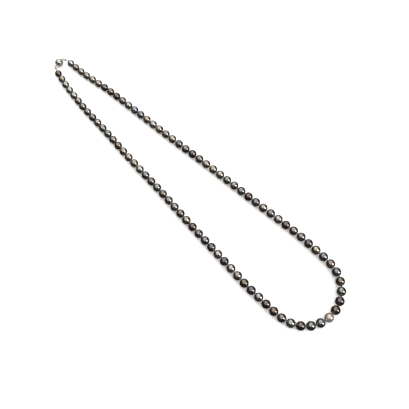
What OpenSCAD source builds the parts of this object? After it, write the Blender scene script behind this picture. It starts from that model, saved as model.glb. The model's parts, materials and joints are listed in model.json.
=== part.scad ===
// A long strand of graded dark pearls on knotted silk, closed by a ball clasp
// with a spring tongue. It lies flat, shut, in a long narrow loop. Millimetres.
// +Y runs from the front of the loop to the clasp, and +Z is up.
// Origin: the middle of the outline, on the surface that the pearls lie on.
//
// Each strand runs from the front knot, knot 0, to its last knot beside the
// clasp. Pearl k sits between knots k - 1 and k. Side -1 is left, 1 is right.

/* [Pearls] */
// Diameter of the pearls beside the front knot
front_d = 9.75; // [9:0.05:10]
// Diameter of the pearls beside the clasp
clasp_d = 7.6; // [7:0.05:8.5]
// Fall of the diameters: a lower value keeps the pearls large for longer
grading = 0.6; // [0.4:0.05:1.2]
// Drilled hole through each pearl
bore_d = 1; // [0.9:0.05:1.1]
// Clear space between neighbouring pearls, which their knot fills
pearl_gap = 0.72; // [0.68:0.02:0.9]

/* [Silk] */
// Doubled thread inside the pearls
silk_d = 0.7; // [0.5:0.05:0.8]
// Knot between two pearls
knot_d = 1.16; // [1.1:0.02:1.2]
// Single thread inside the bullion wire
thread_d = 0.36; // [0.3:0.02:0.4]

/* [Outline] */
// Turn of the strand at each knot of the round front, in degrees
front_turn = 15.3; // [14.5:0.1:16]
// Lean of the long middle towards the other strand, in degrees
middle_lean = 4.6; // [4:0.1:5]
// Lean of the last stretch before the clasp, in degrees
last_lean = 7.9; // [6:0.1:8.5]
// Most that the middle of a strand strays sideways from its line
stray = 0.35; // [0:0.05:0.8]
// How far the clasp lies to the right of the middle line
clasp_shift = 2.2; // [0:0.1:2.4]

/* [Clasp] */
// Outside of the hollow ball
ball_d = 9; // [8.8:0.1:9.6]
// Sheet that the ball is pressed from
ball_wall = 0.4; // [0.3:0.05:0.45]
// How far the clasp lies beyond the last knots
clasp_rise = 5.7; // [5.5:0.1:6.2]
// Wire of the jump rings
ring_wire_d = 0.56; // [0.5:0.02:0.6]
// Middle of the jump ring's wire, across the ring
ring_mean_d = 3; // [2.9:0.1:3.2]
// Wire of the two soldered eyes
eye_wire_d = 0.56; // [0.5:0.02:0.6]
// Middle of the wire, across an eye or a bullion loop
eye_mean_d = 1.8; // [1.75:0.05:1.9]
// Outside of the coiled bullion wire
bullion_d = 0.76; // [0.7:0.02:0.8]
// Inside of the coiled bullion wire
bullion_bore_d = 0.44; // [0.42:0.02:0.46]

/* [Tongue] */
// Width of the plate that enters the ball
plate_w = 3.2; // [2.8:0.1:3.4]
// Sheet of the plate
plate_t = 0.35; // [0.3:0.05:0.4]
// Width of the spring leaf behind its shoulders
leaf_w = 2.8; // [2.4:0.1:3]
// Width of the leaf's neck, which carries the button
neck_w = 1.1; // [0.9:0.1:1.2]
// Sheet of the leaf
leaf_t = 0.25; // [0.2:0.05:0.3]
// Slope of the leaf at rest, in degrees
leaf_rise = 10.5; // [10:0.1:11]
// Button on the end of the neck
button_d = 1.5; // [1.3:0.1:1.6]

/* [Hidden] */
$fn = 48;
LEFT = -1;
RIGHT = 1;
SIDES = [LEFT, RIGHT];

// Pearls of a strand, counted from the front knot, by the stretch they lie in
round_count = 6;
straight_count = 4;
link_count = 4;
links = 9;
last_count = 7;
per_side = round_count + straight_count + (links - 2) * link_count + last_count;
last_start = per_side - last_count;

// Pearls from the front knot to the hinge knot that lets the loop swing open
hinge_knot = 1;

// Pearls over which the strands move aside towards the clasp
shift_knots = 3;

// Overtone of each pearl from the front knot to the clasp, one letter each:
// a aubergine, b blue steel, c charcoal, e green, g gold olive, k black,
// m mauve, o bronze, p pale champagne, r rose, s silver
LEFT_TONES = "pbeascoabkorskrkcsaoogmcgccsrroomkemcmecsemgk";
RIGHT_TONES = "akeobrcgkkmkscobaemeggocascomgsrcbgeaomgsemms";
TONE_KEYS = "abcegkmoprs";
TONES = [
    [0.24, 0.16, 0.2], [0.32, 0.38, 0.42], [0.2, 0.21, 0.22], [0.26, 0.33, 0.28],
    [0.43, 0.4, 0.28], [0.1, 0.1, 0.12], [0.36, 0.31, 0.36], [0.38, 0.31, 0.25],
    [0.78, 0.73, 0.69], [0.48, 0.39, 0.38], [0.52, 0.54, 0.54]
];
GOLD = [0.86, 0.85, 0.83];
BULLION = [0.82, 0.76, 0.6];
SILK = [0.16, 0.15, 0.16];

// Distance from the middle of a knot at which the thread goes into it
thread_hold = 0.35 * knot_d;

// Clasp, measured from the middle of the ball along the line through its holes
fit_gap = 0.05;
catch_x = 2.6;
catch_t = 0.4;
slot_w = plate_w + 0.4;
slot_low = -0.6;
slot_high = 0.5;
notch_w = neck_w + 0.4;
notch_high = 1.8;
fold_x = -2;
fold_d = 0.6;
leaf_len = 4.5;
neck_len = 7.8;
plate_z = -0.45;
leaf_z = plate_z + plate_t + fit_gap;
cap_x = 4.65;
cap_t = 0.5;
cap_w = 3.8;
cap_low = -1.2;
cap_notch_z = 0.28;
stem_d = 0.6;
button_x = 5.3;
button_sink = 0.35;
eye_x = 6.35;

SILK_NODES = [for (side = ["left", "right"], i = [1:links]) str("silk_", side, "_", i)];
PEARL_NODES = [for (side = ["left", "right"], i = [1:links]) str("pearls_", side, "_", i)];

// ---- the strand's line ----

function pearl_d(k) = clasp_d + (front_d - clasp_d) * pow((per_side - k) / (per_side - 1), grading);

// Length of strand that pearl k takes up, from knot to knot
function pitch(k) = pearl_d(k) + pearl_gap;

// Direction of the strand across pearl k, in degrees from +X on the right side
function heading(k) =
    k <= round_count ? front_turn * (k - 0.5)
    : k <= round_count + straight_count ? 90
    : k <= last_start ? 90 + middle_lean
    : 90 + last_lean;

function line_point(k) =
    k == 0 ? [0, 0] : line_point(k - 1) + pitch(k) * [cos(heading(k)), sin(heading(k))];

LINE = [for (k = [0:per_side]) line_point(k)];

// Slow sideways wave of the part beyond the straight stretch, other on each side
function stray_x(side, k) =
    let (start = round_count + straight_count, part = (k - start) / (per_side - start))
    part <= 0 ? 0 : -stray * sin(180 * part) * sin(360 * (k - start) / (13 + 2 * side));

// The last few knots lead both strands over to the clasp
function shift_x(k) = clasp_shift * max(0, k - per_side + shift_knots) / shift_knots;

// Height of a knot: halfway between the middles of its two pearls
function knot_z(k) = (pearl_d(max(k, 1)) + pearl_d(min(k + 1, per_side))) / 4;

front_edge = (LINE[0].y + LINE[1].y) / 2 - front_d / 2;
back_edge = LINE[per_side].y + clasp_rise + ball_d / 2;
middle_y = (front_edge + back_edge) / 2;
clasp_centre = [clasp_shift, LINE[per_side].y + clasp_rise - middle_y, ball_d / 2];

function knot(side, k) =
    [side * (LINE[k].x + stray_x(side, k)) + shift_x(k), LINE[k].y - middle_y, knot_z(k)];

function pearl_centre(side, k) =
    let (middle = (knot(side, k - 1) + knot(side, k)) / 2) [middle.x, middle.y, pearl_d(k) / 2];

function tone(side, k) = TONES[search((side == LEFT ? LEFT_TONES : RIGHT_TONES)[k - 1], TONE_KEYS)[0]];

// First and last pearl of link i, counted from 1 at the straight stretch
function link_first(i) = i == 1 ? round_count + 1 : round_count + straight_count + (i - 2) * link_count + 1;
function link_last(i) = i == links ? per_side : link_first(i + 1) - 1;

// ---- shared shapes ----

// Turns +Z onto the direction v
module aim(v) {
    rotate([0, acos(v.z / norm(v)), atan2(v.y, v.x)]) children();
}

module rod(a, b, d) {
    translate(a) aim(b - a) cylinder(d = d, h = norm(b - a));
}

module ring(mean_d, wire_d) {
    rotate_extrude() translate([mean_d / 2, 0]) circle(d = wire_d);
}

module pearl(side, k) {
    run = knot(side, k) - knot(side, k - 1);
    color(tone(side, k)) difference() {
        translate(pearl_centre(side, k)) rotate(side * (heading(k) - 90)) sphere(d = pearl_d(k));
        translate(pearl_centre(side, k)) aim(run) cylinder(d = bore_d, h = 2 * pearl_d(k), center = true);
    }
}

module pearls(side, first, last) {
    for (k = [first:last]) pearl(side, k);
}

// Knot k of a strand, turned to face along it
module bead(side, k) {
    facing = k == 0 ? 0 : (heading(k) + heading(min(k + 1, per_side))) / 2;
    color(SILK) translate(knot(side, k)) rotate(side * (facing - 90)) sphere(d = knot_d);
}

// Thread between two knots, from one distance past the first to another short
// of the second
module thread(a, b, past, short) {
    way = (b - a) / norm(b - a);
    rod(a + past * way, b - short * way, silk_d);
}

// Silk from the far side of the knot below pearl `first` up to the knot above
// pearl `last`. That first knot belongs to the link below, which holds it.
module silk(side, first, last) {
    color(SILK) {
        for (k = [first:last]) {
            past = k == first && first > 1 ? knot_d / 2 + fit_gap : thread_hold;
            thread(knot(side, k - 1), knot(side, k), past, thread_hold);
            bead(side, k);
        }
    }
}

// ---- the strand ----

module pale_pearl() {
    pearl(LEFT, 1);
}

module pearls_front() {
    pearls(LEFT, 2, round_count);
    pearls(RIGHT, 1, hinge_knot);
}

module silk_front() {
    silk(LEFT, 1, round_count);
    silk(RIGHT, 1, hinge_knot);
    bead(RIGHT, 0);
}

module pearls_right_base() {
    pearls(RIGHT, hinge_knot + 1, round_count);
}

module silk_right_base() {
    silk(RIGHT, hinge_knot + 1, round_count);
}

module pearls_link(side, i) {
    pearls(side, link_first(i), link_last(i));
}

module silk_link(side, i) {
    silk(side, link_first(i), link_last(i));
    if (i == links) silk_loop(side);
}

// ---- where the strands meet the clasp ----

// Middle of the soldered eye on one side, and the way from it to the last knot
function eye_point(side) = clasp_centre + [side * eye_x, 0, 0];
function leave(side) =
    let (way = knot(side, per_side) - eye_point(side)) [way.x, way.y, 0] / norm([way.x, way.y]);
function loop_point(side) = eye_point(side) + ring_mean_d * leave(side);

// The thread's turn inside the bullion wire, from the last knot and back
module silk_loop(side) {
    color(SILK) {
        rod(loop_point(side) + eye_mean_d / 2 * leave(side), knot(side, per_side), thread_d);
        translate(loop_point(side)) ring(eye_mean_d, thread_d);
    }
}

// Coiled wire that covers the thread where it turns round the jump ring
module bullion(side) {
    top = loop_point(side) + eye_mean_d / 2 * leave(side);
    knot_way = knot(side, per_side) - top;
    foot = knot(side, per_side) - knot_way / norm(knot_way) * (knot_d / 2 + fit_gap);
    color(BULLION) difference() {
        union() {
            translate(loop_point(side)) ring(eye_mean_d, bullion_d);
            rod(top, foot, bullion_d);
        }
        translate(loop_point(side)) ring(eye_mean_d, bullion_bore_d);
        rod(top, knot(side, per_side), bullion_bore_d);
    }
}

module jump_ring(side) {
    way = leave(side);
    middle = eye_point(side) + ring_mean_d / 2 * way;
    color(GOLD) translate(middle) rotate([90, 0, atan2(way.y, way.x)]) ring(ring_mean_d, ring_wire_d);
}

// ---- the ball ----

module in_clasp() {
    translate(clasp_centre) children();
}

// A bar along X between two places, with its width across Y and its two heights
module bar(x0, x1, w, z0, z1) {
    translate([x0, -w / 2, z0]) cube([x1 - x0, w, z1 - z0]);
}

module ball_shell() {
    difference() {
        sphere(d = ball_d);
        sphere(d = ball_d - 2 * ball_wall);
    }
}

module stem(x0, x1) {
    translate([x0, 0, 0]) rotate([0, 90, 0]) cylinder(d = stem_d, h = x1 - x0);
}

// Way in for the tongue: a wide slot for its plate and a notch for its neck
module tongue_way(x0, x1) {
    bar(x0, x1, slot_w, slot_low, slot_high);
    bar(x0, x1, notch_w, 0, notch_high);
}

module ball_cup_left() {
    color(GOLD) in_clasp() difference() {
        ball_shell();
        bar(0, ball_d, 2 * ball_d, -ball_d, ball_d);
        stem(-ball_d, 0);
    }
}

module ball_cup_right() {
    color(GOLD) in_clasp() difference() {
        rotate(180) ball_shell();
        bar(-ball_d, 0, 2 * ball_d, -ball_d, ball_d);
        tongue_way(0, ball_d);
    }
}

// Disc whose outer edge is soldered to the inside of the ball
module catch_plate() {
    inner_r = ball_d / 2 - ball_wall;
    disc_r = sqrt(pow(inner_r, 2) - pow(catch_x + catch_t, 2));
    color(GOLD) in_clasp() difference() {
        translate([catch_x, 0, 0]) rotate([0, 90, 0]) cylinder(r = disc_r, h = catch_t);
        tongue_way(0, ball_d);
    }
}

module ball_eye() {
    color(GOLD) in_clasp() {
        translate([-eye_x, 0, 0]) ring(eye_mean_d, eye_wire_d);
        stem(-eye_x + eye_mean_d / 2, -ball_d / 2 + ball_wall);
    }
}

// ---- the tongue ----

module tongue_plate() {
    color(GOLD) in_clasp() {
        bar(fold_x, cap_x, plate_w, plate_z, plate_z + plate_t);
        translate([fold_x, 0, plate_z + fold_d / 2]) rotate([90, 0, 0])
            cylinder(d = fold_d, h = plate_w, center = true);
        difference() {
            bar(cap_x, cap_x + cap_t, cap_w, cap_low, -cap_low);
            bar(0, ball_d, notch_w, cap_notch_z, ball_d);
        }
    }
}

module tongue_eye() {
    color(GOLD) in_clasp() {
        translate([eye_x, 0, 0]) ring(eye_mean_d, eye_wire_d);
        stem(cap_x + cap_t, eye_x - eye_mean_d / 2);
    }
}

// Strip of the leaf, laid along its slope from the fold
module leaf_bar(length, w, z0, z1) {
    translate([fold_x, 0, leaf_z]) rotate([0, -leaf_rise, 0]) bar(fold_d / 2 + fit_gap, length, w, z0, z1);
}

module tongue_leaf() {
    color(GOLD) in_clasp() {
        leaf_bar(leaf_len, leaf_w, 0, leaf_t);
        leaf_bar(neck_len, neck_w, 0, leaf_t);
    }
}

module press_button() {
    height = leaf_t + (button_x - fold_x) * tan(leaf_rise) + button_sink;
    color(GOLD) in_clasp() difference() {
        translate([button_x, 0, leaf_z + height]) sphere(d = button_d);
        leaf_bar(neck_len + button_d, ball_d, -ball_d, leaf_t);
    }
}

// ---- nodes ----

pale_pearl();
pearls_front();
silk_front();
pearls_right_base();
silk_right_base();
for (side = SIDES, i = [1:links]) {
    name = str(side == LEFT ? "left_" : "right_", i);
    pearls_link(side, i);
    silk_link(side, i);
}
bullion(LEFT);  // bullion_left
bullion(RIGHT);  // bullion_right
jump_ring(LEFT);  // jump_ring_left
jump_ring(RIGHT);  // jump_ring_right
ball_cup_left();
ball_cup_right();
catch_plate();
ball_eye();
tongue_plate();
tongue_eye();
tongue_leaf();
press_button();
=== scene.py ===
import json
import math
import random

import bmesh
import bpy
import numpy as np
from mathutils import Matrix, Vector, noise


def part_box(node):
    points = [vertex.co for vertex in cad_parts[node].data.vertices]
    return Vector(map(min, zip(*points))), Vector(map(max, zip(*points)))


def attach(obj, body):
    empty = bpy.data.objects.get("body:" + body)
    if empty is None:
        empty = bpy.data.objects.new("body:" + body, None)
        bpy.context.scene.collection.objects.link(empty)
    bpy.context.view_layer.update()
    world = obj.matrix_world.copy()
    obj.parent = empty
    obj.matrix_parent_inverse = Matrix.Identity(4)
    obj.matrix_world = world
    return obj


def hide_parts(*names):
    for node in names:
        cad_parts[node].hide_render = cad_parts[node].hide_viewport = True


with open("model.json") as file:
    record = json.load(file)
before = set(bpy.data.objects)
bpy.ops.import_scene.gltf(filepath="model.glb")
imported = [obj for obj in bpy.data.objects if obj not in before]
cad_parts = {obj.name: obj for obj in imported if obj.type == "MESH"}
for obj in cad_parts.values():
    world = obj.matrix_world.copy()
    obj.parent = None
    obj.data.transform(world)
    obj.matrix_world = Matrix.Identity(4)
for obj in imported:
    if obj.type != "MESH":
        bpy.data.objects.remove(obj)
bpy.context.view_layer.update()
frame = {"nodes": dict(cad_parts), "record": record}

# A long strand of graded dark pearls on knotted silk, with a ball clasp, built round the
# packed necklace. Everything is in metres, in the frame's own axes: +Y from the front of
# the loop to the clasp, +Z up from the surface that the pearls rest on.

MM = 0.001
X_WAY = Vector((1, 0, 0))
Y_WAY = Vector((0, 1, 0))
Z_WAY = Vector((0, 0, 1))
BODIES = frame["record"]["behaviour"]["bodies"]
BODY_OF = {node: body for body, nodes in BODIES.items() for node in nodes}

# Real sizes that the frame's nodes don't state, in metres
BORE_R = 0.5 * MM
BORE_LIP = 0.12 * MM
THREAD_R = 0.17 * MM
TWIST_LENGTH = 1.3 * MM
KNOT_R = 0.58 * MM
PEARL_GAP = 0.72 * MM
RING_WIRE_R = 0.28 * MM
RING_CUT = 0.03 * MM
STEM_R = 0.3 * MM
LOOP_R = 0.9 * MM
LOOP_THREAD_R = 0.18 * MM
COIL_R = 0.3 * MM
COIL_WIRE_R = 0.08 * MM
COIL_PITCH = 0.168 * MM

# A pearl's long swells, fine swells and pits, in shares of its radius
LOBE_DEPTH = (0.003, 0.011)
FINE_DEPTH = 0.0012
PIT_COUNTS = (0, 1, 1, 2, 3)
PIT_WIDTH = (0.05, 0.12)
PIT_DEPTH = (0.003, 0.008)
PIT_REACH = 2.5

# They stay in the skin, and fade in beyond a clear ring round the bore
SKIN_DEPTH = 0.015
BORE_CLEAR = 0.13
GROWTH_FADE = 0.25

# Overtone of each pearl, from the front knot to the clasp, one letter each
LEFT_TONES = "pbeascoaskorskskccaroemoeccsrrromeercmemsssga"
RIGHT_TONES = "akeobrcgkcmascrcaemeggrcaccgmgsrcbgcaoargerms"

# Letter: name, body colour, the overtone that clouds it, and the dark tint of grazing reflections
TONES = {
    "a": ("aubergine", (0.26, 0.22, 0.21), (0.21, 0.16, 0.15), (0.08, 0.05, 0.04)),
    "b": ("blue_steel", (0.40, 0.45, 0.49), (0.29, 0.32, 0.36), (0.08, 0.08, 0.07)),
    "c": ("charcoal", (0.39, 0.39, 0.40), (0.28, 0.27, 0.27), (0.06, 0.05, 0.04)),
    "e": ("green_steel", (0.48, 0.50, 0.49), (0.35, 0.36, 0.33), (0.08, 0.07, 0.06)),
    "g": ("olive_gold", (0.64, 0.61, 0.51), (0.49, 0.43, 0.32), (0.10, 0.08, 0.05)),
    "k": ("black", (0.29, 0.28, 0.31), (0.21, 0.18, 0.20), (0.05, 0.04, 0.03)),
    "m": ("mauve", (0.49, 0.46, 0.46), (0.38, 0.32, 0.31), (0.09, 0.06, 0.06)),
    "o": ("bronze", (0.37, 0.32, 0.28), (0.28, 0.23, 0.17), (0.08, 0.05, 0.03)),
    "p": ("pale_champagne", (0.72, 0.65, 0.58), (0.54, 0.46, 0.40), (0.34, 0.22, 0.14)),
    "r": ("rose_bronze", (0.61, 0.56, 0.52), (0.48, 0.40, 0.34), (0.09, 0.06, 0.04)),
    "s": ("silver", (0.67, 0.68, 0.66), (0.52, 0.51, 0.47), (0.12, 0.10, 0.08)),
}


# ---- reading the frame ----

def solids(node):
    """Vertices of each separate solid in a CAD node and the ways along its edges, in metres."""
    mesh = bmesh.new()
    mesh.from_mesh(frame["nodes"][node].data)
    bmesh.ops.remove_doubles(mesh, verts=mesh.verts, dist=1e-7)
    found = []
    waiting = set(mesh.verts)
    while waiting:
        patch = [waiting.pop()]
        for vert in patch:
            for edge in vert.link_edges:
                other = edge.other_vert(vert)
                if other in waiting:
                    waiting.discard(other)
                    patch.append(other)
        points = np.array([vert.co[:] for vert in patch])
        edges = {edge for vert in patch for edge in vert.link_edges}
        ways = np.array([(edge.verts[1].co - edge.verts[0].co)[:] for edge in edges])
        found.append((points, ways))
    mesh.free()
    return found


def fitted_sphere(points):
    """Centre and radius of the sphere that the points lie on."""
    left = np.c_[2 * points, np.ones(len(points))]
    answer = np.linalg.lstsq(left, (points ** 2).sum(axis=1), rcond=None)[0]
    centre = answer[:3]
    return centre, math.sqrt(answer[3] + centre @ centre)


def drilled_sphere(solid):
    """(centre, radius, unit vector along the bore) of one pearl, whose longest edges line its bore."""
    points, ways = solid
    centre, radius = fitted_sphere(points)
    lengths = np.linalg.norm(ways, axis=1)
    along = ways[lengths > 1.5 * radius]
    along[along @ along[0] < 0] *= -1
    axis = along.sum(axis=0)
    return Vector(centre), radius, Vector(axis).normalized()


def read_strands():
    """The pearls of each side, from the front knot to the clasp, with their nodes."""
    found = {-1: [], 1: []}
    for node in frame["nodes"]:
        if node.startswith("pearls") or node == "pale_pearl":
            for solid in solids(node):
                centre, radius, axis = drilled_sphere(solid)
                found[1 if centre.x > 0 else -1].append((centre, radius, axis, node))
    return {side: sorted(pearls, key=lambda pearl: pearl[0].y) for side, pearls in found.items()}


STRANDS = read_strands()


# ---- mesh helpers ----

def add_mesh(name, verts, faces, material, smooth=True):
    """A new object whose closed shells all face outwards."""
    data = bpy.data.meshes.new(name)
    data.from_pydata([tuple(v) for v in verts], [], faces)
    data.materials.append(material)
    shape = bmesh.new()
    shape.from_mesh(data)
    bmesh.ops.recalc_face_normals(shape, faces=shape.faces)
    for face in shape.faces:
        face.smooth = smooth
    shape.to_mesh(data)
    shape.free()
    obj = bpy.data.objects.new(name, data)
    bpy.context.scene.collection.objects.link(obj)
    return obj


def stand_for(piece, node):
    """Puts a piece in the place of a CAD node, on that node's body."""
    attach(piece, BODY_OF[node])
    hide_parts(node)


def joined(parts):
    """One list of vertices and one of faces from several (vertices, faces) pairs."""
    verts = []
    faces = []
    for more_verts, more_faces in parts:
        start = len(verts)
        verts.extend(more_verts)
        faces.extend([tuple(start + i for i in face) for face in more_faces])
    return verts, faces


def grid_faces(rows, columns, wrap_rows=False):
    """Quads of a grid that closes round its columns, and round its rows if asked."""
    faces = []
    for row in range(rows if wrap_rows else rows - 1):
        below = row * columns
        above = ((row + 1) % rows) * columns
        for column in range(columns):
            after = (column + 1) % columns
            faces.append((below + column, below + after, above + after, above + column))
    return faces


def square_to(axis):
    """Two unit vectors square to an axis and to each other."""
    axis = Vector(axis).normalized()
    guide = Z_WAY if abs(axis.z) < 0.9 else X_WAY
    first = axis.cross(guide).normalized()
    return first, axis.cross(first)


def tube(path, radius, sides, closed=False):
    """(vertices, faces) of a round tube along a path; a list of radii gives each point its own."""
    path = [Vector(p) for p in path]
    count = len(path)
    radii = radius if isinstance(radius, (list, tuple)) else [radius] * count
    tangents = []
    for i in range(count):
        before = path[i - 1] if i > 0 or closed else path[0]
        after = path[(i + 1) % count] if i < count - 1 or closed else path[-1]
        tangents.append((after - before).normalized())
    across, _ = square_to(tangents[0])
    verts = []
    turned = []
    for i in range(count):
        across = (across - tangents[i] * across.dot(tangents[i])).normalized()
        turned.append(across.copy())
    for i in range(count):
        other = tangents[i].cross(turned[i])
        for j in range(sides):
            angle = 2 * math.pi * j / sides
            verts.append(path[i] + radii[i] * (math.cos(angle) * turned[i] + math.sin(angle) * other))
    faces = grid_faces(count, sides, closed)
    if not closed:
        faces.append(tuple(reversed(range(sides))))
        faces.append(tuple(range((count - 1) * sides, count * sides)))
    return verts, faces


def lathe(profile, centre, axis, segments, closed):
    """(vertices, faces) of (radius, height) pairs turned about an axis, joined last to first if closed."""
    axis = Vector(axis).normalized()
    first, second = square_to(axis)
    verts = []
    for radius, height in profile:
        for j in range(segments):
            angle = 2 * math.pi * j / segments
            out = math.cos(angle) * first + math.sin(angle) * second
            verts.append(Vector(centre) + radius * out + height * axis)
    return verts, grid_faces(len(profile), segments, closed)


# ---- materials ----

def new_material(name):
    material = bpy.data.materials.new(name)
    material.use_nodes = True
    tree = material.node_tree
    shader = tree.nodes["Principled BSDF"]
    return material, tree, shader


def add_node(tree, kind, settings=()):
    """A new node with the given sockets set, from (name, value) pairs."""
    made = tree.nodes.new(kind)
    for key, value in settings:
        made.inputs[key].default_value = value
    return made


def noise_at(tree, scale, detail, roughness=0.5, distortion=0.0):
    """Noise through the object's own space, in cycles per metre."""
    place = add_node(tree, "ShaderNodeTexCoord")
    texture = add_node(tree, "ShaderNodeTexNoise", (
        ("Scale", scale), ("Detail", detail), ("Roughness", roughness), ("Distortion", distortion)))
    tree.links.new(place.outputs["Object"], texture.inputs["Vector"])
    return texture.outputs["Fac"]


def tint(tree, shader, source, stops):
    """Colours the shader by a ramp of (position, colour) stops over the source."""
    ramp = add_node(tree, "ShaderNodeValToRGB")
    elements = ramp.color_ramp.elements
    while len(elements) < len(stops):
        elements.new(0.5)
    for element, (place, colour) in zip(elements, stops):
        element.position = place
        element.color = (*colour, 1.0)
    tree.links.new(source, ramp.inputs["Fac"])
    tree.links.new(ramp.outputs["Color"], shader.inputs["Base Color"])


def vary_roughness(tree, shader, source, low, high):
    """Lets the source move the roughness between two values."""
    spread = add_node(tree, "ShaderNodeMapRange", (("To Min", low), ("To Max", high)))
    tree.links.new(source, spread.inputs["Value"])
    tree.links.new(spread.outputs["Result"], shader.inputs["Roughness"])


def roughen(tree, shader, source, strength, depth):
    """Fine relief of the given depth, in metres."""
    bump = add_node(tree, "ShaderNodeBump", (("Strength", strength), ("Distance", depth)))
    tree.links.new(source, bump.inputs["Height"])
    tree.links.new(bump.outputs["Normal"], shader.inputs["Normal"])


def shaded(colour, factor):
    """The colour made darker or lighter."""
    return tuple(part * factor for part in colour)


def nacre(letter):
    """Pearl nacre: a lustre clouded by its overtone, dark where it reflects at a grazing angle."""
    name, body, overtone, rim = TONES[letter]
    pale = letter == "p"
    material, tree, shader = new_material("nacre_" + name)
    cloud = noise_at(tree, 240.0, 4.0, roughness=0.55, distortion=0.8)
    tint(tree, shader, cloud, (
        (0.28, shaded(overtone, 0.75)), (0.44, shaded(overtone, 1.15)),
        (0.56, body), (0.74, shaded(body, 1.15))))
    vary_roughness(tree, shader, noise_at(tree, 700.0, 3.0), 0.10, 0.20)
    roughen(tree, shader, noise_at(tree, 1500.0, 4.0), 0.12, 0.02 * MM)
    shader.inputs["Specular Tint"].default_value = (*rim, 1.0)
    shader.inputs["Metallic"].default_value = 0.8 if pale else 1.0
    shader.inputs["Coat Weight"].default_value = 1.0 if pale else 0.6
    shader.inputs["Coat Roughness"].default_value = 0.07
    shader.inputs["Coat IOR"].default_value = 1.53
    return material


def polished_metal():
    """White gold, polished bright, with faint wipe marks."""
    material, tree, shader = new_material("white_gold")
    wipe = noise_at(tree, 2400.0, 5.0)
    tint(tree, shader, wipe, ((0.3, (0.74, 0.72, 0.67)), (0.7, (0.84, 0.82, 0.77))))
    vary_roughness(tree, shader, wipe, 0.05, 0.13)
    roughen(tree, shader, wipe, 0.05, 0.01 * MM)
    shader.inputs["Metallic"].default_value = 1.0
    return material


def bullion_metal():
    """Gilt wire, drawn fine and gone dull."""
    material, tree, shader = new_material("bullion_wire")
    draw = noise_at(tree, 3000.0, 2.0)
    tint(tree, shader, draw, ((0.3, (0.27, 0.235, 0.18)), (0.7, (0.40, 0.355, 0.28))))
    shader.inputs["Metallic"].default_value = 1.0
    shader.inputs["Roughness"].default_value = 0.3
    return material


def silk_thread():
    """Dark grey silk with the sheen of its filaments."""
    material, tree, shader = new_material("silk_thread")
    fibre = noise_at(tree, 5000.0, 4.0)
    tint(tree, shader, fibre, ((0.3, (0.030, 0.028, 0.030)), (0.7, (0.085, 0.080, 0.082))))
    roughen(tree, shader, fibre, 0.4, 0.03 * MM)
    shader.inputs["Roughness"].default_value = 0.55
    shader.inputs["Sheen Weight"].default_value = 0.5
    return material


# ---- the pearls ----

def pearl_profile(radius, rows=38):
    """Closed outline of half a drilled pearl: its skin, the eased lips of the bore and the bore."""
    edge = math.asin((BORE_R + BORE_LIP) / radius)
    skin = []
    for row in range(rows + 1):
        angle = edge + (math.pi - 2 * edge) * row / rows
        skin.append((radius * math.sin(angle), radius * math.cos(angle)))
    bore_end = radius * math.cos(edge) - 0.6 * BORE_LIP
    wall = [(BORE_R, step * bore_end) for step in (-1, -0.6, -0.2, 0.2, 0.6, 1)]
    eased_r, eased_z = BORE_R + 0.35 * BORE_LIP, bore_end + 0.42 * BORE_LIP
    return skin + [(eased_r, -eased_z)] + wall + [(eased_r, eased_z)]


def growth(radius, seed):
    """How far each point of a pearl's skin falls inside a true sphere, as a function of its direction."""
    rng = random.Random(seed)
    shift = Vector([rng.uniform(-50, 50) for _ in range(3)])
    lobes = rng.uniform(*LOBE_DEPTH)
    pits = []
    for _ in range(rng.choice(PIT_COUNTS)):
        way = Vector([rng.gauss(0, 1) for _ in range(3)]).normalized()
        pits.append((way, rng.uniform(*PIT_WIDTH), rng.uniform(*PIT_DEPTH)))

    def fall(way):
        slow = 0.5 + 0.5 * noise.noise(way * 1.1 + shift)
        fine = 0.5 + 0.5 * noise.noise(way * 5.0 - shift)
        total = lobes * slow + FINE_DEPTH * fine
        for centre, width, depth in pits:
            apart = (way - centre).length / width
            if apart < PIT_REACH:
                total += depth * math.exp(-apart * apart)
        return radius * total

    return fall


def make_pearl(name, centre, radius, axis, material, seed):
    """One drilled pearl, whose skin strays from the sphere except round its bore."""
    verts, faces = lathe(pearl_profile(radius), centre, axis, 56, closed=True)
    fall = growth(radius, seed)
    shaped = []
    for vert in verts:
        way = vert - centre
        distance = way.length
        if distance > (1 - SKIN_DEPTH) * radius:
            from_axis = (way - axis * way.dot(axis)).length / radius
            fade = min(1.0, max(0.0, (from_axis - BORE_CLEAR) / GROWTH_FADE))
            vert = vert - way / distance * fall(way / distance) * fade
        shaped.append(vert)
    return add_mesh(name, shaped, faces, material)


def make_pearls():
    materials = {letter: nacre(letter) for letter in TONES}
    for side, word, tones in ((-1, "left", LEFT_TONES), (1, "right", RIGHT_TONES)):
        for number, (pearl, letter) in enumerate(zip(STRANDS[side], tones), start=1):
            centre, radius, axis, node = pearl
            name = f"pearl_{word}_{number:02d}"
            seed = 1000 * (side + 2) + number
            piece = make_pearl(name, centre, radius, axis, materials[letter], seed)
            stand_for(piece, node)


# ---- the silk ----

def twisted(start, end):
    """Two plies of thread twisted about the line from start to end."""
    way = end - start
    turns = way.length / TWIST_LENGTH
    first, second = square_to(way)
    steps = int(turns * 10)
    plies = []
    for phase in (0, math.pi):
        path = []
        for i in range(steps + 1):
            angle = phase + 2 * math.pi * turns * i / steps
            out = math.cos(angle) * first + math.sin(angle) * second
            path.append(start + way * i / steps + THREAD_R * out)
        plies.append(tube(path, THREAD_R, 6))
    return joined(plies)


def overhand(centre, axis):
    """A pulled-up overhand knot, which is a trefoil, about a point of the strand."""
    first, second = square_to(axis)
    wire = 0.44 * KNOT_R
    # The curve below is 3 units from its middle at its widest
    reach = (KNOT_R - wire) / 3
    path = []
    steps = 40
    for i in range(steps):
        t = 2 * math.pi * i / steps
        across = math.sin(t) + 2 * math.sin(2 * t)
        up = math.cos(t) - 2 * math.cos(2 * t)
        along = -math.sin(3 * t)
        path.append(centre + reach * (across * first + up * second) + 0.85 * reach * along * axis)
    return tube(path, wire, 8, closed=True)


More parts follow.
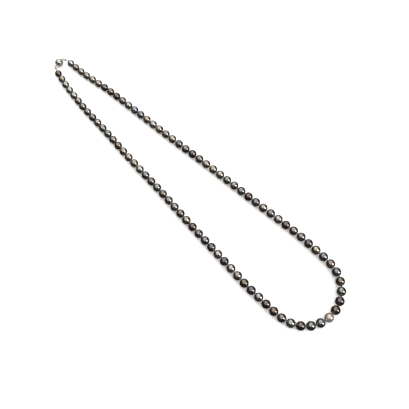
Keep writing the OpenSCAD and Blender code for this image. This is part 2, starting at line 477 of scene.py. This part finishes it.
def bore_mouth(pearl, way, beyond=0.0):
    """Point on the bore's line where it leaves the pearl along a way, or further out."""
    centre, radius, axis, _ = pearl
    return centre + axis * math.copysign(radius + beyond, axis.dot(way))


def knot_between(lower, upper):
    """Point on the strand halfway across the gap between two pearls, and the strand's way there."""
    way = upper[0] - lower[0]
    return (bore_mouth(lower, way) + bore_mouth(upper, -way)) / 2, way.normalized()


def make_silk(material):
    """Twisted thread through every pearl, and a knot after it, one piece for each body."""
    parts = {}
    for side, word in ((-1, "left"), (1, "right")):
        parts[BODY_OF["bullion_" + word]] = thread_loop(side)
    for side, pearls in STRANDS.items():
        other_first = STRANDS[-side][0]
        for number, pearl in enumerate(pearls):
            centre, _, _, node = pearl
            before = pearls[number - 1] if number > 0 else other_first
            below, below_way = knot_between(before, pearl)
            if number + 1 < len(pearls):
                above, way = knot_between(pearl, pearls[number + 1])
            else:
                above, way = 2 * centre - below, (centre - below).normalized()
            body = BODY_OF[node]
            parts.setdefault(body, []).append(twisted(below.lerp(above, 0.06), above.lerp(below, 0.03)))
            parts[body].append(overhand(above, way))
            if number == 0 and side < 0:
                parts[body].append(overhand(below, below_way))
    for body, shapes in parts.items():
        node = next(n for n in BODIES[body] if n.startswith("silk"))
        stand_for(add_mesh("thread_" + body, *joined(shapes), material), node)


# ---- the clasp ----

def corners_of(node):
    low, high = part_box(node)
    return Vector(low), Vector(high)


def middle_of(node):
    low, high = corners_of(node)
    return (low + high) / 2


EYES = {-1: "ball_eye", 1: "tongue_eye"}
RINGS = {-1: "jump_ring_left", 1: "jump_ring_right"}
CUP_LOW, CUP_HIGH = corners_of("ball_cup_right")
BALL = Vector((CUP_LOW.x, (CUP_LOW.y + CUP_HIGH.y) / 2, (CUP_LOW.z + CUP_HIGH.z) / 2))
BALL_R = (CUP_HIGH.y - CUP_LOW.y) / 2


def in_mm(x, y, z):
    """A point given in millimetres from the middle of the ball."""
    return BALL + MM * Vector((x, y, z))


def eye_centre(side):
    """Middle of the soldered eye, the ring at the far end of its node."""
    low, high = corners_of(EYES[side])
    tip = high.x if side > 0 else low.x
    return Vector((tip - side * (high.y - low.y) / 2, BALL.y, BALL.z))


def level_pair(side):
    """Level unit vectors from the eye through the jump ring, and square to that."""
    way = middle_of(RINGS[side]) - eye_centre(side)
    lead = Vector((way.x, way.y, 0)).normalized()
    return lead, Vector((-lead.y, lead.x, 0))


def loop_centre(side):
    """The loop lies as far beyond the jump ring's middle as the eye lies before it."""
    return 2 * middle_of(RINGS[side]) - eye_centre(side)


def last_knot(side):
    """Knot beside the clasp, on the line of the last pearl's bore."""
    return bore_mouth(STRANDS[side][-1], Y_WAY, PEARL_GAP / 2)


def circle(centre, first, second, radius, steps, turn=2 * math.pi, start=0.0):
    """Points round a circle in the plane of two unit vectors, or round part of it."""
    path = []
    for i in range(steps):
        angle = start + turn * i / steps
        path.append(centre + radius * (math.cos(angle) * first + math.sin(angle) * second))
    return path


def loop_line(side):
    """Ends of the straight stretch from the loop on the jump ring to the last knot."""
    lead, _ = level_pair(side)
    near = loop_centre(side) + LOOP_R * lead
    return near, last_knot(side)


def thread_loop(side):
    """The thread's turn round the jump ring, inside the bullion wire."""
    lead, across = level_pair(side)
    near, knot = loop_line(side)
    turn = tube(circle(loop_centre(side), lead, across, LOOP_R, 32), LOOP_THREAD_R, 8, closed=True)
    return [turn, tube([near, near.lerp(knot, 0.5), knot], LOOP_THREAD_R, 8)]


def coil(path, closed):
    """Fine wire wound along a level path with its turns touching."""
    if closed:
        path = path + path[:1]
    lengths = [0.0]
    for a, b in zip(path, path[1:]):
        lengths.append(lengths[-1] + (b - a).length)
    per_turn = 10
    steps = round(lengths[-1] / COIL_PITCH) * per_turn
    wound = []
    stretch = 0
    for i in range(steps if closed else steps + 1):
        along = lengths[-1] * i / steps
        while stretch < len(path) - 2 and lengths[stretch + 1] < along:
            stretch += 1
        span = path[stretch + 1] - path[stretch]
        point = path[stretch] + span * (along - lengths[stretch]) / span.length
        out = span.normalized().cross(Z_WAY)
        angle = 2 * math.pi * i / per_turn
        wound.append(point + COIL_R * (math.cos(angle) * out + math.sin(angle) * Z_WAY))
    return tube(wound, COIL_WIRE_R, 6, closed)


def bullion(side):
    """Wire wound round the loop, and down the thread to just short of the knot."""
    lead, across = level_pair(side)
    near, knot = loop_line(side)
    foot = knot + (near - knot).normalized() * (KNOT_R + 0.05 * MM)
    loop = circle(loop_centre(side), lead, across, LOOP_R, 64)
    return joined([coil(loop, closed=True), coil([foot, near], closed=False)])


def jump_ring(side):
    """A ring of round wire, cut once and closed end to end."""
    lead, _ = level_pair(side)
    low, high = corners_of(RINGS[side])
    mean_r = (high.z - low.z) / 2 - RING_WIRE_R
    turn = 2 * math.pi - RING_CUT / mean_r
    path = circle(middle_of(RINGS[side]), lead, Z_WAY, mean_r, 72, turn, start=0.9)
    end = [0.75 * RING_WIRE_R, 0.95 * RING_WIRE_R]
    radii = end + [RING_WIRE_R] * (len(path) - 4) + end[::-1]
    return tube(path, radii, 16)


def solder_eye(side):
    """Round wire eye on a flared stem; the left stem goes on through the ball's wall."""
    centre = eye_centre(side)
    low, high = corners_of(EYES[side])
    mean_r = (high.y - low.y) / 2 - RING_WIRE_R
    ring = tube(circle(centre, X_WAY, Y_WAY, mean_r, 56), RING_WIRE_R, 16, closed=True)
    if side < 0:
        root, face, flare = BALL.x - high.x, BALL_R - 0.02 * MM, 0.2 * MM
        profile = [(STEM_R, root), (STEM_R, face)]
    else:
        face, flare = low.x - BALL.x, 0.1 * MM
        profile = []
    for share, height in ((1, 0), (0.9, 0.05), (0.45, 0.11), (0.1, 0.2)):
        profile.append((STEM_R + share * flare, face + height * MM))
    neck = abs(centre.x - BALL.x) - mean_r
    for radius, height in ((0.30, -0.2), (0.36, -0.05), (0.22, 0.08)):
        profile.append((radius * MM, neck + height * MM))
    return joined([ring, turned(profile, BALL, side * X_WAY, 24)])


def turned(profile, centre, axis, segments):
    """A lathe shape closed by a flat at each end."""
    verts, faces = lathe(profile, centre, axis, segments, closed=False)
    faces.append(tuple(range(segments)))
    faces.append(tuple(range(len(verts) - segments, len(verts))))
    return verts, faces


def rounded(corners, step=0.16):
    """Outline in millimetres, in close steps, with a curve at each (x, y, length of its arms) corner."""
    count = len(corners)
    outline = []
    for i, (x, y, arm) in enumerate(corners):
        corner = Vector((x, y))
        before = Vector(corners[i - 1][:2]) - corner
        after = Vector(corners[(i + 1) % count][:2]) - corner
        start, end = corner + arm * before.normalized(), corner + arm * after.normalized()
        for j in range(6):
            s = j / 5
            outline.append((1 - s) ** 2 * start + 2 * s * (1 - s) * corner + s ** 2 * end)
    full = []
    for a, b in zip(outline, outline[1:] + outline[:1]):
        parts = max(1, round((b - a).length / step))
        full.extend(a.lerp(b, j / parts) for j in range(parts))
    return full


def inset(outline, distance):
    """The outline moved inwards, for an outline that runs anticlockwise."""
    moved = []
    for i, point in enumerate(outline):
        along = outline[(i + 1) % len(outline)] - outline[i - 1]
        moved.append(point + distance * Vector((-along.y, along.x)).normalized())
    return moved


def slab(outline, heights, place, ease=0.05):
    """A plate of sheet with eased edges; place(u, v, height) puts it in the scene."""
    low, high = heights
    layers = [(ease, low), (0.3 * ease, low + 0.3 * ease), (0, low + ease),
              (0, high - ease), (0.3 * ease, high - 0.3 * ease), (ease, high)]
    verts = []
    for distance, height in layers:
        verts.extend(place(p.x, p.y, height) for p in inset(outline, distance))
    count = len(outline)
    faces = grid_faces(len(layers), count)
    faces.append(tuple(range(count)))
    faces.append(tuple(range(len(verts) - count, len(verts))))
    return verts, faces


def cup(outline, side):
    """Half of the hollow ball, its pole cut by an outline seen along X, its rim eased at the seam."""
    wall, lip, seam, steps = 0.4, 0.06, 0.035, 26
    outer = BALL_R / MM
    inner = outer - wall
    columns = [(math.atan2(p.y, p.x), p.length) for p in outline]
    rows = []

    def row(radius, wider, share, least_x=0.0):
        """Adds the ring of points that lies a share of the way from the cut to the seam."""
        made = []
        for angle, opening in columns:
            pole = math.asin((opening + wider) / radius)
            slope = pole + (math.pi / 2 - pole) * share
            x = max(least_x, radius * math.cos(slope))
            across = radius * math.sin(slope)
            made.append(in_mm(side * x, across * math.cos(angle), across * math.sin(angle)))
        rows.append(made)

    for i in range(steps):
        row(outer, lip, i / steps)
    row(outer, lip, 1, least_x=seam)
    row(outer - seam, lip, 1)
    for i in range(steps, -1, -1):
        row(inner, 0, i / steps)
    row(outer - lip, 0, 0)
    row(outer - 0.3 * lip, 0.3 * lip, 0)
    return [vert for made in rows for vert in made], grid_faces(len(rows), len(columns), True)


def mirrored(corners):
    """Corners of the half at positive Y, followed by the same ones across from them."""
    return corners + [(-y, z, arm) for y, z, arm in reversed(corners)]


def slot_outline():
    """Wide way in for the plate, with a notch above it for the neck, anticlockwise in Y and Z."""
    half, notch = 1.8, 0.75
    low, high, top = -0.6, 0.5, 1.8
    return rounded(mirrored([(half, low, 0.2), (half, high, 0.2), (notch, high, 0.12), (notch, top, 0.3)]))


def tongue():
    """Folded strip that enters the ball, and the dished cap that stops it there."""
    low, high = corners_of("tongue_plate")
    half, bottom, top = 1.6, -0.45, -0.1
    roll_r = 0.3
    fold_x = (low.x - BALL.x) / MM + roll_r
    cap_out = (high.x - BALL.x) / MM
    strip_end = cap_out - 0.3
    strip = slab(rounded([(fold_x, -half, 0.05), (strip_end, -half, 0.05),
                          (strip_end, half, 0.05), (fold_x, half, 0.05)]), (bottom, top), in_mm)
    eased = [(0.2, half), (0.27, half - 0.03), (roll_r, half - 0.09)]
    profile = [(r, -y) for r, y in eased] + [(roll_r, 0)] + eased[::-1]
    roll = turned([(r * MM, y * MM) for r, y in profile], in_mm(fold_x, 0, bottom + roll_r), Y_WAY, 24)
    wide, tall, notch, notch_low = 1.9, 1.2, 0.75, 0.28
    cap_thick, dish = 0.43, 0.06
    outline = rounded(mirrored([(wide, -tall, 0.55), (wide, tall, 0.45),
                                (notch, tall, 0.15), (notch, notch_low, 0.3)]))
    cap = slab(outline, (cap_out - cap_thick, cap_out),
               lambda y, z, x: in_mm(x - dish * (y * y + z * z), y, z), ease=0.09)
    return joined([strip, roll, cap])


# The leaf's fold in X and Z from the middle of the ball, and its thickness, in millimetres
LEAF_FOLD = (-2.0, -0.05)
LEAF_THICK = 0.25
LEAF_RISE = math.radians(10.5)


def on_leaf(u, v, height):
    """A point along the leaf's slope, across it and above its lower face, in millimetres."""
    x, z = LEAF_FOLD
    return in_mm(x + u * math.cos(LEAF_RISE) - height * math.sin(LEAF_RISE), v,
                 z + u * math.sin(LEAF_RISE) + height * math.cos(LEAF_RISE))


def spring_leaf():
    """Flat leaf, wide inside the ball and narrow where it comes out of the notch."""
    root, shoulder, tip = 0.32, 4.5, 7.8
    wide, neck = 1.4, 0.55
    outline = rounded([(root, -wide, 0.1), (shoulder, -wide, 0.12),
                       (shoulder, -neck, 0.15), (tip, -neck, 0.45),
                       (tip, neck, 0.45), (shoulder, neck, 0.15),
                       (shoulder, wide, 0.12), (root, wide, 0.1)])
    return slab(outline, (0, LEAF_THICK), on_leaf, ease=0.04)


def button():
    """Small domed button with a waisted foot, standing square on the leaf."""
    along = (middle_of("press_button").x - BALL.x) / MM - LEAF_FOLD[0]
    # The head leans back over the slope, so the foot stands a little further up it
    lean = 0.05
    base = on_leaf(along / math.cos(LEAF_RISE) + lean, 0, LEAF_THICK)
    foot = [(0.60, -0.02), (0.60, 0.05), (0.52, 0.1), (0.52, 0.16), (0.68, 0.22), (0.735, 0.3)]
    dome_r, dome_base, dome_height = 0.745, 0.4, 0.67
    dome = []
    for degrees in range(0, 90, 14):
        angle = math.radians(degrees)
        dome.append((dome_r * math.cos(angle), dome_base + dome_height * math.sin(angle)))
    axis = (-math.sin(LEAF_RISE), 0, math.cos(LEAF_RISE))
    return turned([(r * MM, h * MM) for r, h in foot + dome], base, axis, 40)


def make_clasp():
    """Builds the clasp and gives back the pieces made for it."""
    metal = polished_metal()
    wire = bullion_metal()
    hole_r = STEM_R / MM + 0.01
    angles = np.linspace(0, 2 * math.pi, 48, endpoint=False)
    hole = [hole_r * Vector((math.cos(angle), math.sin(angle))) for angle in angles]
    shapes = [
        ("ball_half_left", cup(hole, -1), "ball_cup_left"),
        ("ball_half_right", cup(slot_outline(), 1), "ball_cup_right"),
        ("tongue_strip", tongue(), "tongue_plate"),
        ("spring_leaf", spring_leaf(), "tongue_leaf"),
        ("leaf_button", button(), "press_button"),
    ]
    for side, word in ((-1, "left"), (1, "right")):
        shapes.append(("solder_eye_" + word, solder_eye(side), EYES[side]))
        shapes.append(("ring_" + word, jump_ring(side), RINGS[side]))
        shapes.append(("bullion_coil_" + word, bullion(side), "bullion_" + word))
    pieces = []
    for name, shape, node in shapes:
        coiled = node.startswith("bullion")
        piece = add_mesh(name, *shape, wire if coiled else metal)
        stand_for(piece, node)
        pieces.append(piece)
    plate = frame["nodes"]["catch_plate"]
    plate.data.materials.clear()
    plate.data.materials.append(metal)
    return pieces


# ---- the room ----

def area_light(name, place, target, size, glow, in_reflections=True):
    """A flat rectangular light; glow is the brightness of its face."""
    data = bpy.data.lights.new(name, "AREA")
    data.shape = "RECTANGLE"
    data.size, data.size_y = size
    data.energy = glow * math.pi * size[0] * size[1]
    data.color = (1.0, 0.992, 0.978)
    obj = bpy.data.objects.new(name, data)
    obj.location = place
    obj.rotation_euler = (Vector(target) - Vector(place)).to_track_quat("-Z", "Y").to_euler()
    obj.visible_glossy = in_reflections
    bpy.context.scene.collection.objects.link(obj)
    return obj


def make_table():
    """A matt white surface that the pearls rest on but don't mirror."""
    material, tree, shader = new_material("white_table")
    tint(tree, shader, noise_at(tree, 60.0, 3.0), ((0.3, (0.93, 0.93, 0.93)), (0.7, (0.95, 0.95, 0.95))))
    shader.inputs["Roughness"].default_value = 0.8
    shader.inputs["Specular IOR Level"].default_value = 0.1
    half = 6.0
    corners = [(-half, -half, 0), (half, -half, 0), (half, half, 0), (-half, half, 0)]
    table = add_mesh("table", corners, [(0, 1, 2, 3)], material, smooth=False)
    table.visible_glossy = False


def make_backdrop():
    """A white wall round the table for low views, which neither lights nor shades anything."""
    material, _, shader = new_material("pale_backdrop")
    shader.inputs["Base Color"].default_value = (0, 0, 0, 1)
    shader.inputs["Specular IOR Level"].default_value = 0
    shader.inputs["Emission Color"].default_value = (1, 1, 1, 1)
    shader.inputs["Emission Strength"].default_value = 1.0
    radius, foot, top = 2.4, -0.001, 5.0
    wall = lathe([(radius, foot), (radius, top)], (0, 0, 0), Z_WAY, 96, closed=False)
    backdrop = add_mesh("backdrop", *wall, material)
    backdrop.visible_glossy = False
    backdrop.visible_diffuse = False
    backdrop.visible_shadow = False


def make_lights():
    """A faint warm room, and four soft lights round the table."""
    world = bpy.data.worlds.new("room")
    world.use_nodes = True
    background = world.node_tree.nodes["Background"]
    background.inputs["Color"].default_value = (1.0, 0.86, 0.74, 1)
    background.inputs["Strength"].default_value = 0.055
    bpy.context.scene.world = world
    bpy.context.scene.view_settings.view_transform = "Standard"
    area_light("panel", (0.6, 0.9, 1.5), (0.6, 0.9, 0), (3.4, 3.0), 0.9)
    area_light("key", (0.70, -1.85, 1.62), (0, 0, 0), (0.9, 1.9), 5.0)
    area_light("card", (0.50, 0.60, 0.36), (0, 0.2, 0), (1.1, 0.75), 0.5)
    area_light("fill", (1.2, -0.05, 1.8), (1.0, -0.05, 0), (5.0, 5.0), 1.55, in_reflections=False)


def light_from_table(pieces):
    """Lets the clasp mirror the lit table round it; its light reaches no other piece."""
    above_table = 0.4 * MM
    place = (BALL.x, BALL.y, above_table)
    shine = area_light("table_shine", place, (BALL.x, BALL.y, 1), (0.7, 0.7), 0.30)
    shine.visible_camera = False
    shine.visible_diffuse = False
    metalwork = bpy.data.collections.new("metalwork")
    for piece in pieces:
        metalwork.objects.link(piece)
    shine.light_linking.receiver_collection = metalwork


def make_camera():
    """The eye stands in front of the left strand, high above the table, leaning a little."""
    place = Vector((-0.1489, -0.1616, 0.5828))
    azimuth = math.radians(41.67)
    elevation = math.radians(71.66)
    roll = math.radians(2.24)
    heading = Vector((math.cos(azimuth), math.sin(azimuth), 0))
    look = heading * math.cos(elevation) - Z_WAY * math.sin(elevation)
    level = look.cross(Z_WAY).normalized()
    right = level * math.cos(roll) + level.cross(look) * math.sin(roll)
    turn = Matrix((right, right.cross(look), -look)).transposed()
    data = bpy.data.cameras.new("camera")
    data.lens = 50
    data.sensor_width = 36
    data.clip_start = 0.01
    obj = bpy.data.objects.new("camera", data)
    obj.matrix_world = Matrix.Translation(place) @ turn.to_4x4()
    bpy.context.scene.collection.objects.link(obj)
    bpy.context.scene.camera = obj


make_camera()
make_table()
make_backdrop()
make_lights()
make_pearls()
make_silk(silk_thread())
light_from_table(make_clasp())
